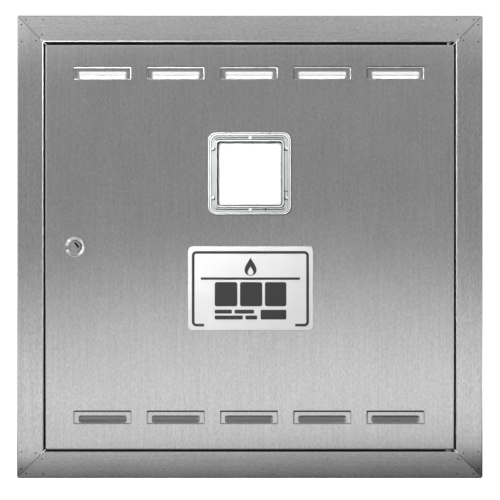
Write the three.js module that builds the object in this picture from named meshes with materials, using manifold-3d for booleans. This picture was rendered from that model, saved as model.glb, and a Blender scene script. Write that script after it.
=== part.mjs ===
// A stainless steel access door in a mitred wall frame, as fitted over a gas meter recess.
// Units are millimetres. X runs to the right, Y into the wall and Z up, so the front faces -Y.
// The origin is the middle of the frame on the wall's surface.
import * as THREE from "three";
import { mergeVertices } from "three/addons/utils/BufferGeometryUtils.js";
import Module from "manifold-3d";

const wasm = await Module();
wasm.setup();

// Sheet metal
const SHEET = 1.2; // thickness of the frame and the door
const BEND = 1.5; // outer radius of a fold
const PLAY = 0.3; // clearance between two pieces that rest on each other
const RUN = 0.3; // radial clearance round a pin, shaft or barrel

// Frame
const OVERALL_W = 600;
const OVERALL_H = 596;
const FLANGE = 34.5; // visible width of a member
const STAND_OFF = 10; // the flange's face stands this far off the wall
const STOP = 12; // width of the door stop
const MITRE_GAP = 0.25; // taken off each mitred end, along the member
const GUSSET_REACH = 38; // how far a corner plate runs along each member
const ANCHOR_Z = 180; // height of the wall anchors above and below the middle
const ANCHOR_W = 20;
const ANCHOR_T = 1.5;
const ANCHOR_SHANK = 40; // depth in the wall at which an anchor splays outward
const ANCHOR_SPLAY = 18;
const BUFFER_Z = 150;

// Door
const DOOR_DEPTH = 18;
const RETURN = 10; // inward fold at the rear of the door's edges
const SIDE_GAP = 2.2;
const TOP_GAP = 3.3;
const BOTTOM_GAP = 1.8;
const STOP_GAP = 2.4; // between the door's rear edge and the stop

// Louvres: two rows of shallow recesses, each with a hood pressed in behind a slot
const LOUVRES = 5;
const LOUVRE_PITCH = 94.3;
const LOUVRE_ROWS = [224.5, -219.5];
const ROW_X = -1; // middle of each row
const RECESS_W = 74;
const RECESS_H = 17.5;
const RECESS_D = 0.8;
const SLOT_W = 62;
const SLOT_H = 11;
const SLOT_RISE = 0.6; // from the recess's lower edge to the slot
const HOOD_D = 7; // from the recess's floor to the hood's inner face

// Window
const WINDOW_Z = 94;
const BEZEL_W = 108;
const BEZEL_H = 107;
const BEZEL_R = 11;
const BEZEL_D = 2.7;
const SIGHT_W = 79;
const SIGHT_H = 78;
const REBATE = 1.7; // how much larger the pane's seat is than the sight opening, each side
const PANE_D = 2.5;
const CUTOUT = 43; // half the side of the hole in the door
const CUTOUT_R = 8;
const SIGHT_R = 4;
const RING_D = 2.5;
const RIVET_X = 47;
const RIVET_Z = 31.7;

// Label plate
const LABEL_W = 161;
const LABEL_H = 108;
const LABEL_D = 0.8;
const LABEL_R = 4;
const LABEL_X = 1;
const LABEL_Z = -53.5;

// Cam lock
const LOCK_X = -225;
const LOCK_HEAD_R = 13;
const LOCK_HEAD_D = 2.6;
const BARREL_R = 9.5;
const PLUG_R = 7.75;
const NUT_FLATS = 24;
const NUT_D = 5;
const CAM_REACH = 37;
const CAM_W = 16;
const CAM_D = 2.5;
const CAM_SQUARE = 8;
const KEYWAY_SPAN = [2.6, 4.9]; // distances from the plug's axis of the keyway's two long sides
const KEYWAY_HALF = 4; // half the keyway's length
const KEYWAY_D = 9;

// Hinge pins
const PIN_INSET = 7; // from the door's right edge to the pins' axis
const PIN_SET_BACK = 5; // from the door's face to the pins' axis
const PIN_R = 2.5;
const PIN_HEAD_R = 3.5;
const WASHER_R = 4.5;
const BRACKET_H = 32.7;
const BRACKET_DEPTH = 12;
const LEG = 1.8; // thickness of the bracket's legs
const CLIP_R = 3.5;
const CLIP_D = 1;
const PIN_STAND = 3; // how far the sliding pin reaches into the frame
const PIN_TAIL = 14; // length of the sliding pin's bent tail
const SPRING_R = 3.1;
const SPRING_WIRE_R = 0.4;
const SPRING_TURNS = 7;

const FACE_Y = -STAND_OFF;
const FACE_BACK = FACE_Y + SHEET;
const DOOR_BACK = FACE_Y + DOOR_DEPTH;
const STOP_Y = DOOR_BACK + STOP_GAP;
const STOP_BACK = STOP_Y + SHEET;
const OPEN_X = OVERALL_W / 2 - FLANGE; // half the clear opening
const OPEN_Z = OVERALL_H / 2 - FLANGE;
const DOOR_X = OPEN_X - SIDE_GAP;
const DOOR_TOP = OPEN_Z - TOP_GAP;
const DOOR_BOTTOM = BOTTOM_GAP - OPEN_Z;
const PIN_X = DOOR_X - PIN_INSET;
const PIN_Y = FACE_Y + PIN_SET_BACK;

const steel = new THREE.MeshStandardMaterial({ color: 0xa9a9a9, roughness: 0.35, metalness: 1 });
const zinc = new THREE.MeshStandardMaterial({ color: 0x9a9d9f, roughness: 0.5, metalness: 1 });
const chrome = new THREE.MeshStandardMaterial({ color: 0xd5d5d5, roughness: 0.12, metalness: 1 });
const clear = new THREE.MeshStandardMaterial({
  color: 0xf4f6f6,
  roughness: 0.15,
  metalness: 0,
  transparent: true,
  opacity: 0.4,
});
const white = new THREE.MeshStandardMaterial({ color: 0xf0f0f0, roughness: 0.4, metalness: 0 });
const rubber = new THREE.MeshStandardMaterial({ color: 0x1c1c1c, roughness: 0.8, metalness: 0 });
const nylon = new THREE.MeshStandardMaterial({ color: 0xe4e0d4, roughness: 0.5, metalness: 0 });

// A closed three.js geometry as a solid that can be cut and joined.
function solid(geometry) {
  const bare = geometry.clone();
  bare.deleteAttribute("normal");
  bare.deleteAttribute("uv");
  const merged = mergeVertices(bare, 1e-4);
  return new wasm.Manifold(
    new wasm.Mesh({
      numProp: 3,
      vertProperties: merged.attributes.position.array,
      triVerts: new Uint32Array(merged.index.array),
    }),
  );
}

// A solid back as a three.js geometry with flat shading.
function skin(body) {
  const made = body.getMesh();
  const geometry = new THREE.BufferGeometry();
  geometry.setAttribute("position", new THREE.BufferAttribute(made.vertProperties, 3));
  geometry.setIndex(new THREE.BufferAttribute(made.triVerts, 1));
  const flat = geometry.toNonIndexed();
  flat.computeVertexNormals();
  return flat;
}

function cut(geometry, tools) {
  return skin(tools.reduce((body, tool) => body.subtract(solid(tool)), solid(geometry)));
}

function join(geometries) {
  return skin(geometries.map(solid).reduce((body, other) => body.add(other)));
}

function block(x0, x1, y0, y1, z0, z1) {
  const geometry = new THREE.BoxGeometry(x1 - x0, y1 - y0, z1 - z0);
  return geometry.translate((x0 + x1) / 2, (y0 + y1) / 2, (z0 + z1) / 2);
}

// Round bars along each axis, from one end to the other.
function barY(radius, y0, y1, x = 0, z = 0, sides = 24) {
  return new THREE.CylinderGeometry(radius, radius, y1 - y0, sides).translate(x, (y0 + y1) / 2, z);
}

function barZ(radius, z0, z1, x = 0, y = 0, sides = 24) {
  const geometry = new THREE.CylinderGeometry(radius, radius, z1 - z0, sides);
  return geometry.rotateX(Math.PI / 2).translate(x, y, (z0 + z1) / 2);
}

function barX(radius, x0, x1, y = 0, z = 0, sides = 24) {
  const geometry = new THREE.CylinderGeometry(radius, radius, x1 - x0, sides);
  return geometry.rotateZ(Math.PI / 2).translate((x0 + x1) / 2, y, z);
}

// A plate whose outline lies in XZ and whose thickness runs from y0 to y1.
function plate(outline, y0, y1) {
  const options = { depth: y1 - y0, bevelEnabled: false, curveSegments: 4 };
  return new THREE.ExtrudeGeometry(outline, options).rotateX(Math.PI / 2).translate(0, y1, 0);
}

// A prism whose outline lies in YZ, centred on x = 0.
function prismX(points, width) {
  const outline = new THREE.Shape(points.map(([y, z]) => new THREE.Vector2(y, z)));
  const geometry = new THREE.ExtrudeGeometry(outline, { depth: width, bevelEnabled: false });
  return geometry
    .rotateZ(Math.PI / 2)
    .rotateY(Math.PI / 2)
    .translate(-width / 2, 0, 0);
}

function roundedRect(width, height, radius) {
  const x = width / 2 - radius;
  const z = height / 2 - radius;
  const outline = new THREE.Shape();
  outline.absarc(x, z, radius, 0, Math.PI / 2);
  outline.absarc(-x, z, radius, Math.PI / 2, Math.PI);
  outline.absarc(-x, -z, radius, Math.PI, 1.5 * Math.PI);
  outline.absarc(x, -z, radius, 1.5 * Math.PI, 2 * Math.PI);
  return outline;
}

// A turned ring or bar about the Y axis. The profile's points are [radius, y].
function turned(profile, sides = 32) {
  return new THREE.LatheGeometry(
    profile.map(([radius, y]) => new THREE.Vector2(radius, y)),
    sides,
  );
}

function place(parent, name, geometry, material, position = [0, 0, 0], turn = 0) {
  const mesh = new THREE.Mesh(geometry, material);
  mesh.name = name;
  mesh.position.set(...position);
  mesh.rotation.y = turn;
  parent.add(mesh);
  return mesh;
}

// ---- Frame ----

// One member: a folded strip with mitred ends. Its section runs inward along X from the outer
// edge at x = 0, and its length runs along Z.
function memberStrip(halfLength) {
  const section = new THREE.Shape();
  section.moveTo(SHEET, 0);
  section.lineTo(0, 0);
  section.absarc(BEND, FACE_Y + BEND, BEND, Math.PI, 1.5 * Math.PI);
  section.absarc(FLANGE - BEND, FACE_Y + BEND, BEND, 1.5 * Math.PI, 2 * Math.PI);
  section.lineTo(FLANGE, STOP_Y);
  section.lineTo(FLANGE + STOP, STOP_Y);
  section.lineTo(FLANGE + STOP, STOP_BACK);
  section.lineTo(FLANGE - SHEET, STOP_BACK);
  section.lineTo(FLANGE - SHEET, FACE_BACK);
  section.lineTo(SHEET, FACE_BACK);
  const strip = new THREE.ExtrudeGeometry(section, { depth: 1, bevelEnabled: false, curveSegments: 4 });
  const points = strip.attributes.position;
  for (let i = 0; i < points.count; i += 1) {
    const end = points.getZ(i) > 0.5 ? 1 : -1;
    points.setZ(i, end * (halfLength - points.getX(i) - MITRE_GAP));
  }
  return strip;
}

// The same with a hole in its inner wall for a hinge pin, at a height along the strip.
function drilledStrip(halfLength, along) {
  return cut(memberStrip(halfLength), [
    barX(PIN_R + RUN, FLANGE - 3, FLANGE + 3, PIN_Y, along),
  ]);
}

// An L-shaped plate welded behind a mitre. Its outer corner is at the origin, and it runs
// along +X and +Z.
function gussetPlate() {
  const outer = SHEET + PLAY;
  const inner = FLANGE - SHEET - PLAY;
  const corners = [
    [outer, outer],
    [GUSSET_REACH, outer],
    [GUSSET_REACH, inner],
    [inner, inner],
    [inner, GUSSET_REACH],
    [outer, GUSSET_REACH],
  ];
  const outline = new THREE.Shape(corners.map(([x, z]) => new THREE.Vector2(x, z)));
  return plate(outline, FACE_BACK + PLAY, FACE_BACK + PLAY + SHEET);
}

// A strap on the masonry side of the opening's left wall. It runs back into the wall, splays
// outward, and ends in a swallow tail.
function anchorStrap() {
  const face = -OPEN_X - SHEET - PLAY;
  const slant = ANCHOR_T * Math.tan(Math.PI / 8);
  const tail = [face - ANCHOR_SPLAY, ANCHOR_SHANK + ANCHOR_SPLAY];
  const across = ANCHOR_T * Math.SQRT1_2;
  const corners = [
    [face, FACE_BACK + 2],
    [face, ANCHOR_SHANK],
    tail,
    [tail[0] - across, tail[1] - across],
    [face - ANCHOR_T, ANCHOR_SHANK - slant],
    [face - ANCHOR_T, FACE_BACK + 2],
  ];
  const outline = new THREE.Shape(corners.map(([x, y]) => new THREE.Vector2(x, y)));
  const strap = new THREE.ExtrudeGeometry(outline, { depth: ANCHOR_W, bevelEnabled: false });
  strap.translate(0, 0, -ANCHOR_W / 2);
  const notch = new THREE.CylinderGeometry(8, 8, 12, 3, 1);
  notch.scale(1, 1, 0.8).rotateZ(Math.PI / 4).translate(tail[0] - 1.5, tail[1] + 1.5, 0);
  return cut(strap, [notch]);
}

function makeFrame() {
  const frame = new THREE.Group();
  const halfW = OVERALL_W / 2;
  const halfH = OVERALL_H / 2;
  place(frame, "frame_left", memberStrip(halfH), steel, [-halfW, 0, 0]);
  place(frame, "frame_right", memberStrip(halfH), steel, [halfW, 0, 0], Math.PI);
  place(frame, "frame_top", drilledStrip(halfW, PIN_X), steel, [0, 0, halfH], Math.PI / 2);
  place(frame, "frame_bottom", drilledStrip(halfW, -PIN_X), steel, [0, 0, -halfH], -Math.PI / 2);

  const corners = {
    gusset_bottom_left: [-halfW, -halfH, 0],
    gusset_bottom_right: [halfW, -halfH, -Math.PI / 2],
    gusset_top_right: [halfW, halfH, Math.PI],
    gusset_top_left: [-halfW, halfH, Math.PI / 2],
  };
  for (const [name, [x, z, turn]] of Object.entries(corners)) {
    place(frame, name, gussetPlate(), steel, [x, 0, z], turn);
  }
  for (const [level, z] of [["upper", ANCHOR_Z], ["lower", -ANCHOR_Z]]) {
    place(frame, "anchor_left_" + level, anchorStrap(), zinc, [0, 0, z]);
    place(frame, "anchor_right_" + level, anchorStrap(), zinc, [0, 0, z], Math.PI);
  }
  const bufferX = -DOOR_X + 4.5;
  for (const [level, z] of [["upper", BUFFER_Z], ["lower", -BUFFER_Z]]) {
    const pad = barY(3.6, DOOR_BACK + PLAY, STOP_Y - PLAY, 0, 0, 20);
    place(frame, "door_buffer_" + level, pad, rubber, [bufferX, 0, z]);
  }
  return frame;
}

// ---- Hinge pins ----

// A headed pin that stands up from the frame's lower inner wall.
function lowerPin() {
  const head = barZ(PIN_HEAD_R, -OPEN_Z - SHEET - PLAY - 2, -OPEN_Z - SHEET - PLAY, 0, 0, 20);
  const shank = barZ(PIN_R, -OPEN_Z - SHEET - PLAY - 1, DOOR_BOTTOM + 15, 0, 0, 20);
  return join([head, shank]);
}

function lowerWasher() {
  const base = -OPEN_Z + PLAY;
  const top = DOOR_BOTTOM - PLAY;
  return cut(barZ(WASHER_R, base, top), [barZ(PIN_R + RUN, base - 1, top + 1)]);
}

// The C bracket in the door's upper corner. It guides the sliding pin in its two legs.
const BRACKET_TOP = DOOR_TOP - SHEET - PLAY;
const BRACKET_BOTTOM = BRACKET_TOP - BRACKET_H;

function pinBracket() {
  const right = PIN_INSET - SHEET - PLAY;
  const left = -8;
  const front = FACE_BACK + PLAY - PIN_Y;
  const back = front + BRACKET_DEPTH;
  const whole = block(left, right, front, back, BRACKET_BOTTOM, BRACKET_TOP);
  return cut(whole, [
    block(left - 1, right - 1, front - 1, back + 1, BRACKET_BOTTOM + LEG, BRACKET_TOP - LEG),
    barZ(PIN_R + RUN, BRACKET_BOTTOM - 1, BRACKET_TOP + 1),
  ]);
}

function hingePlate() {
  const base = DOOR_BOTTOM + SHEET + PLAY;
  const front = FACE_BACK + PLAY - PIN_Y;
  const whole = block(-9, PIN_INSET - SHEET - PLAY, front, front + BRACKET_DEPTH, base, base + 2);
  return cut(whole, [barZ(PIN_R + RUN, base - 1, base + 3)]);
}

const CLIP_TOP = BRACKET_TOP - LEG - PLAY;

// The sliding pin: a round bar with a tail bent to the left as its finger pull.
function slidingPin() {
  const tip = OPEN_Z + PIN_STAND;
  const elbow = BRACKET_BOTTOM - 10;
  return join([
    barZ(PIN_R, elbow, tip, 0, 0, 20),
    new THREE.SphereGeometry(PIN_R, 20, 10).translate(0, 0, elbow),
    barX(PIN_R, -PIN_TAIL, 0, 0, elbow, 20),
  ]);
}

function pinSpring() {
  const base = BRACKET_BOTTOM + LEG + PLAY + SPRING_WIRE_R;
  const rise = CLIP_TOP - CLIP_D - PLAY - SPRING_WIRE_R - base;
  class Coil extends THREE.Curve {
    getPoint(t) {
      const angle = t * SPRING_TURNS * 2 * Math.PI;
      return new THREE.Vector3(SPRING_R * Math.cos(angle), SPRING_R * Math.sin(angle), base + t * rise);
    }
  }
  const round = new THREE.Shape();
  round.absarc(0, 0, SPRING_WIRE_R, 0, 2 * Math.PI);
  const options = {
    steps: SPRING_TURNS * 12,
    extrudePath: new Coil(),
    curveSegments: 3,
    bevelEnabled: false,
  };
  return new THREE.ExtrudeGeometry(round, options);
}

// ---- Door ----

function louvreX(column) {
  return ROW_X + (column - (LOUVRES - 1) / 2) * LOUVRE_PITCH;
}

// The metal that one louvre adds behind the sheet, and what it cuts away, about its recess.
function louvreTools(x, z) {
  const floor = FACE_Y + RECESS_D;
  const floorBack = floor + SHEET;
  const slotBottom = SLOT_RISE - RECESS_H / 2;
  const slotTop = slotBottom + SLOT_H;
  const deep = floor + HOOD_D;
  const backing = block(
    -RECESS_W / 2 - SHEET,
    RECESS_W / 2 + SHEET,
    FACE_BACK - 0.2,
    floorBack,
    -RECESS_H / 2 - SHEET,
    RECESS_H / 2 + SHEET,
  );
  const hoodProfile = [
    [floorBack - 0.2, slotTop + 2 * SHEET],
    [deep + SHEET, slotBottom + 2 * SHEET],
    [deep + SHEET, slotBottom],
    [floorBack - 0.2, slotBottom],
  ];
  const voidProfile = [
    [floor - 0.2, slotTop],
    [deep, slotBottom + SHEET],
    [deep, slotBottom - 2],
    [floorBack, slotBottom - 2],
    [floorBack, slotBottom],
    [floor - 0.2, slotBottom],
  ];
  const recess = block(
    -RECESS_W / 2,
    RECESS_W / 2,
    FACE_Y - 1,
    floor,
    -RECESS_H / 2,
    RECESS_H / 2,
  );
  const metal = [backing, prismX(hoodProfile, SLOT_W + 2 * SHEET)];
  const air = [recess, prismX(voidProfile, SLOT_W)];
  [...metal, ...air].forEach((shape) => shape.translate(x, 0, z));
  return { metal, air };
}

// The door's sheet: a folded tray with returns at the rear, louvres, a window hole, a lock
// hole and the hinge holes.
function doorPanel() {
  const tray = block(-DOOR_X, DOOR_X, FACE_Y, DOOR_BACK, DOOR_BOTTOM, DOOR_TOP);
  const inside = block(
    SHEET - DOOR_X,
    DOOR_X - SHEET,
    FACE_BACK,
    DOOR_BACK - SHEET,
    DOOR_BOTTOM + SHEET,
    DOOR_TOP - SHEET,
  );
  const rear = block(
    RETURN - DOOR_X,
    DOOR_X - RETURN,
    0,
    DOOR_BACK + 1,
    DOOR_BOTTOM + RETURN,
    DOOR_TOP - RETURN,
  );
  let body = solid(tray).subtract(solid(inside)).subtract(solid(rear));
  const air = [];
  for (const z of LOUVRE_ROWS) {
    for (let column = 0; column < LOUVRES; column += 1) {
      const louvre = louvreTools(louvreX(column), z);
      louvre.metal.forEach((shape) => {
        body = body.add(solid(shape));
      });
      air.push(...louvre.air);
    }
  }
  const sightHole = roundedRect(2 * CUTOUT, 2 * CUTOUT, CUTOUT_R);
  air.push(plate(sightHole, FACE_Y - 1, FACE_BACK + 1).translate(0, 0, WINDOW_Z));
  for (const x of [-RIVET_X, RIVET_X]) {
    for (const z of [-RIVET_Z, RIVET_Z]) {
      air.push(barY(1.7, FACE_Y - 1, FACE_BACK + 1, x, WINDOW_Z + z, 12));
    }
  }
  air.push(barY(BARREL_R + RUN, FACE_Y - 1, FACE_BACK + 1, LOCK_X, 0, 32));
  air.push(barZ(PIN_R + RUN, DOOR_BOTTOM - 1, DOOR_BOTTOM + SHEET + 1, PIN_X, PIN_Y));
  air.push(barZ(PIN_R + RUN, DOOR_TOP - SHEET - 1, DOOR_TOP + 1, PIN_X, PIN_Y));
  air.forEach((shape) => {
    body = body.subtract(solid(shape));
  });
  return skin(body);
}

// ---- Window ----

const BEZEL_BACK = FACE_Y - PLAY;
const BEZEL_FACE = BEZEL_BACK - BEZEL_D;
const SEAT_Y = BEZEL_FACE + 1; // front of the pane's seat
const RING_Y = FACE_BACK + PLAY;

function rivetTools(radius, y0, y1) {
  return [-RIVET_X, RIVET_X].flatMap((x) =>
    [-RIVET_Z, RIVET_Z].map((z) => barY(radius, y0, y1, x, z, 12)),
  );
}

function windowBezel() {
  const flange = plate(roundedRect(BEZEL_W, BEZEL_H, BEZEL_R), BEZEL_FACE, BEZEL_BACK);
  const neck = plate(
    roundedRect(2 * (CUTOUT - RUN), 2 * (CUTOUT - RUN), CUTOUT_R - RUN),
    BEZEL_BACK - 1,
    FACE_BACK - 0.1,
  );
  const sight = plate(roundedRect(SIGHT_W, SIGHT_H, SIGHT_R), BEZEL_FACE - 1, SEAT_Y + 1);
  const seat = plate(
    roundedRect(SIGHT_W + 2 * REBATE, SIGHT_H + 2 * REBATE, SIGHT_R + 1),
    SEAT_Y,
    FACE_BACK + 1,
  );
  return cut(join([flange, neck]), [
    sight,
    seat,
    ...rivetTools(2.7, BEZEL_FACE - 1, BEZEL_FACE + 1),
    ...rivetTools(1.7, BEZEL_FACE - 1, BEZEL_BACK + 1),
  ]);
}

function windowPane() {
  const width = SIGHT_W + 2 * (REBATE - PLAY);
  const height = SIGHT_H + 2 * (REBATE - PLAY);
  return plate(roundedRect(width, height, SIGHT_R + 0.7), SEAT_Y + PLAY, SEAT_Y + PLAY + PANE_D - 0.4);
}

function windowRing() {
  const outer = plate(roundedRect(BEZEL_W - 4, BEZEL_H - 4, BEZEL_R - 2), RING_Y, RING_Y + RING_D);
  const hole = plate(roundedRect(SIGHT_W - 2, SIGHT_H - 2, SIGHT_R - 1), RING_Y - 1, RING_Y + RING_D + 1);
  return cut(outer, [hole, ...rivetTools(1.7, RING_Y - 1, RING_Y + RING_D + 1)]);
}

// A push rivet with a sunk front head and a spread rear end.
function pushRivet() {
  const rear = RING_Y + RING_D + PLAY;
  const profile = [
    [0, BEZEL_FACE - 0.2],
    [2.3, BEZEL_FACE - 0.2],
    [2.3, BEZEL_FACE + 0.7],
    [1.4, BEZEL_FACE + 0.7],
    [1.4, rear],
    [2.3, rear],
    [2.3, rear + 0.8],
    [0, rear + 0.8],
  ];
  return turned(profile, 12);
}

function makeWindow() {
  const group = new THREE.Group();
  group.position.set(0, 0, WINDOW_Z);
  place(group, "window_bezel", windowBezel(), clear);
  place(group, "window_pane", windowPane(), clear);
  place(group, "window_ring", windowRing(), white);
  const corners = {
    window_rivet_top_left: [-RIVET_X, RIVET_Z],
    window_rivet_top_right: [RIVET_X, RIVET_Z],
    window_rivet_bottom_left: [-RIVET_X, -RIVET_Z],
    window_rivet_bottom_right: [RIVET_X, -RIVET_Z],
  };
  for (const [name, [x, z]] of Object.entries(corners)) {
    place(group, name, pushRivet(), white, [x, 0, z]);
  }
  return group;
}

// ---- Cam lock ----

const HEAD_Y = FACE_Y - PLAY - LOCK_HEAD_D;
const BARREL_END = STOP_BACK - 0.1;
const CAM_Y = BARREL_END + 0.6;

function lockHousing() {
  const bore = PLUG_R + RUN;
  return turned([
    [bore, HEAD_Y],
    [LOCK_HEAD_R - 1, HEAD_Y],
    [LOCK_HEAD_R, HEAD_Y + 1],
    [LOCK_HEAD_R, FACE_Y - PLAY],
    [BARREL_R, FACE_Y - PLAY],
    [BARREL_R, BARREL_END],
    [bore, BARREL_END],
    [bore, HEAD_Y],
  ]);
}

function lockWasher() {
  const front = FACE_BACK + PLAY;
  const bore = barY(BARREL_R + RUN, front - 1, front + 2, 0, 0, 32);
  return cut(barY(13.5, front, front + 1, 0, 0, 32), [bore]);
}

function lockNut() {
  const front = FACE_BACK + 2 * PLAY + 1;
  const hexagon = barY(NUT_FLATS / Math.sqrt(3), front, front + NUT_D, 0, 0, 6);
  const bore = barY(BARREL_R + RUN, front - 1, front + NUT_D + 1, 0, 0, 32);
  return cut(hexagon, [bore]);
}

// The key plug: a round bar with a keyway in its face, a square end for the cam, and a
// threaded hole for the cam's screw.
function lockPlug() {
  const half = CAM_SQUARE / 2;
  const squareEnd = CAM_Y + CAM_D - 0.3;
  const plug = join([
    barY(PLUG_R, HEAD_Y + 0.4, BARREL_END, 0, 0, 32),
    block(-half, half, BARREL_END - 1, squareEnd, -half, half),
  ]);
  const [inner, outer] = KEYWAY_SPAN;
  const keyway = block(inner, outer, HEAD_Y - 1, HEAD_Y + KEYWAY_D, -KEYWAY_HALF, KEYWAY_HALF);
  keyway.rotateY(-Math.PI / 4);
  return cut(plug, [keyway, barY(2.5 + RUN, BARREL_END - 6, squareEnd + 1, 0, 0, 16)]);
}

// A flat bar that points up when unlocked.
function lockCam() {
  const half = CAM_W / 2;
  const outline = new THREE.Shape();
  outline.absarc(0, 0, half, Math.PI, 2 * Math.PI);
  outline.absarc(half - 3, CAM_REACH - 3, 3, 0, Math.PI / 2);
  outline.absarc(3 - half, CAM_REACH - 3, 3, Math.PI / 2, Math.PI);
  const side = CAM_SQUARE / 2 + RUN;
  const square = block(-side, side, CAM_Y - 1, CAM_Y + CAM_D + 1, -side, side);
  return cut(plate(outline, CAM_Y, CAM_Y + CAM_D), [square]);
}

function camScrew() {
  const seat = CAM_Y + CAM_D + PLAY;
  const head = barY(6, seat, seat + 3, 0, 0, 20);
  const shank = barY(2.5, BARREL_END - 4, seat + 1, 0, 0, 16);
  const cross = [
    block(-3, 3, seat + 1.8, seat + 4, -0.5, 0.5),
    block(-0.5, 0.5, seat + 1.8, seat + 4, -3, 3),
  ];
  return cut(join([head, shank]), cross);
}

function makeLock() {
  const group = new THREE.Group();
  group.position.set(LOCK_X, 0, 0);
  place(group, "lock_housing", lockHousing(), chrome);
  place(group, "lock_washer", lockWasher(), zinc);
  place(group, "lock_nut", lockNut(), zinc);
  const rotor = new THREE.Group();
  place(rotor, "lock_plug", lockPlug(), chrome);
  place(rotor, "lock_cam", lockCam(), zinc);
  place(rotor, "cam_screw", camScrew(), zinc);
  group.add(rotor);
  return group;
}

// ---- Assembly ----

function makeHinges() {
  const group = new THREE.Group();
  group.position.set(PIN_X, PIN_Y, 0);
  place(group, "lower_hinge_pin", lowerPin(), steel);
  place(group, "lower_hinge_washer", lowerWasher(), nylon);
  place(group, "lower_hinge_plate", hingePlate(), steel);
  place(group, "upper_pin_bracket", pinBracket(), steel);
  place(group, "upper_hinge_pin", slidingPin(), zinc);
  const ring = cut(barZ(CLIP_R, CLIP_TOP - CLIP_D, CLIP_TOP, 0, 0, 20), [
    barZ(PIN_R + 0.1, CLIP_TOP - 2, CLIP_TOP + 1, 0, 0, 20),
  ]);
  place(group, "upper_pin_clip", ring, zinc);
  place(group, "upper_pin_spring", pinSpring(), steel);
  return group;
}

function makeDoor() {
  const door = new THREE.Group();
  place(door, "door_panel", doorPanel(), steel);
  const label = plate(roundedRect(LABEL_W, LABEL_H, LABEL_R), FACE_Y - PLAY - LABEL_D, FACE_Y - PLAY);
  place(door, "label_plate", label, white, [LABEL_X, 0, LABEL_Z]);
  door.add(makeWindow());
  door.add(makeLock());
  return door;
}

const unit = new THREE.Group();
unit.add(makeFrame());
unit.add(makeHinges());
unit.add(makeDoor());
export default unit;
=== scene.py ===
"""Looks of a gas meter access door in its wall frame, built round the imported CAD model.

All lengths are in metres. X runs to the right, Y into the wall and Z up, as in the frame.
Section profiles and outlines are written in millimetres and scaled by MM.
"""
import math

import bmesh
import bpy
from mathutils import Matrix, Vector, noise


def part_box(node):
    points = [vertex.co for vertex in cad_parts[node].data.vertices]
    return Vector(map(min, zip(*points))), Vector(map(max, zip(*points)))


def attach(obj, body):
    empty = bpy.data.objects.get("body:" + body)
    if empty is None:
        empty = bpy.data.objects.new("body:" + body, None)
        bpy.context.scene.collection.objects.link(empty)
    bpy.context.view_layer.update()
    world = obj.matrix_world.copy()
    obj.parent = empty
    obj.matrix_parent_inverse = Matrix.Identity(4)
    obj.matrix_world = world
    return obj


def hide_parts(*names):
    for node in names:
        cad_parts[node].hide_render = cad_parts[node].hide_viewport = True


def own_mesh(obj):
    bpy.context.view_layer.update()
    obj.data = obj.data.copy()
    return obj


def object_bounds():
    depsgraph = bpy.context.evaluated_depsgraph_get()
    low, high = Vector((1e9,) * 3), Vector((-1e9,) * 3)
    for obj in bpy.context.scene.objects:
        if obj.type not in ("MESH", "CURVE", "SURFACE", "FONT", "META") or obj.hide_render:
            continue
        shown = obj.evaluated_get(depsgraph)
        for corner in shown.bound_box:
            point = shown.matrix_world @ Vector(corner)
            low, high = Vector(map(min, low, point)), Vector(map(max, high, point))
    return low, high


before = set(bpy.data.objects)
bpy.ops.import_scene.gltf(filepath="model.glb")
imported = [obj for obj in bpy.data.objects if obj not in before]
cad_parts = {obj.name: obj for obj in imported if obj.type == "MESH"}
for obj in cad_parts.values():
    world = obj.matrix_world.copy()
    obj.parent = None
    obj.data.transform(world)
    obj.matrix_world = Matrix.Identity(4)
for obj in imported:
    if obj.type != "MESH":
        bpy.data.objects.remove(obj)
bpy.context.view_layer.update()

MM = 0.001
SHEET = 1.2 * MM

# Frame, from the CAD members
FRAME_LOW, FRAME_HIGH = Vector(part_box("frame_left")[0]), Vector(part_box("frame_right")[1])
HALF_W = FRAME_HIGH.x
HALF_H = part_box("frame_top")[1][2]
FACE_Y = FRAME_LOW.y
STOP_BACK = FRAME_HIGH.y
FLANGE = 34.5 * MM
STOP = 12 * MM
MITRE_GAP = 0.42 * MM

# Door, from the CAD sheet
DOOR_LOW, DOOR_HIGH = Vector(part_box("door_panel")[0]), Vector(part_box("door_panel")[1])
FOLD = 1.9 * MM  # outer radius of the door's folds
RETURN = 10 * MM


# ---------------------------------------------------------------- mesh tools


def folded(corners, radius, thickness, steps=6):
    """The closed outline of a folded strip, from the corners of its middle line."""
    left, right = [], []

    def note(point, way):
        side = Vector((-way.y, way.x)) * (thickness / 2)
        left.append(point + side)
        right.append(point - side)

    points = [Vector(c) for c in corners]
    ways = [(b - a).normalized() for a, b in zip(points, points[1:])]
    note(points[0], ways[0])
    for corner, way, onward in zip(points[1:], ways, ways[1:]):
        turn = math.atan2(way.x * onward.y - way.y * onward.x, way.dot(onward))
        reach = radius * math.tan(abs(turn) / 2)
        inward = Vector((-way.y, way.x)) * math.copysign(radius, turn)
        centre = corner - way * reach + inward
        for step in range(steps + 1):
            swing = Matrix.Rotation(turn * step / steps, 2)
            note(centre - swing @ inward, swing @ way)
    note(points[-1], ways[-1])
    return left + right[::-1]


def rounded_rect(width, height, radius, steps=8):
    """The outline of a rectangle with round corners, anticlockwise from the right."""
    x, z = width / 2 - radius, height / 2 - radius
    points = []
    for quarter, (cx, cz) in enumerate([(x, z), (-x, z), (-x, -z), (x, -z)]):
        for step in range(steps + 1):
            angle = (quarter + step / steps) * math.pi / 2
            points.append((cx + radius * math.cos(angle), cz + radius * math.sin(angle)))
    return points


def circle(radius, count, x=0.0, z=0.0):
    return [
        (x + radius * math.cos(2 * math.pi * i / count), z + radius * math.sin(2 * math.pi * i / count))
        for i in range(count)
    ]


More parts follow.
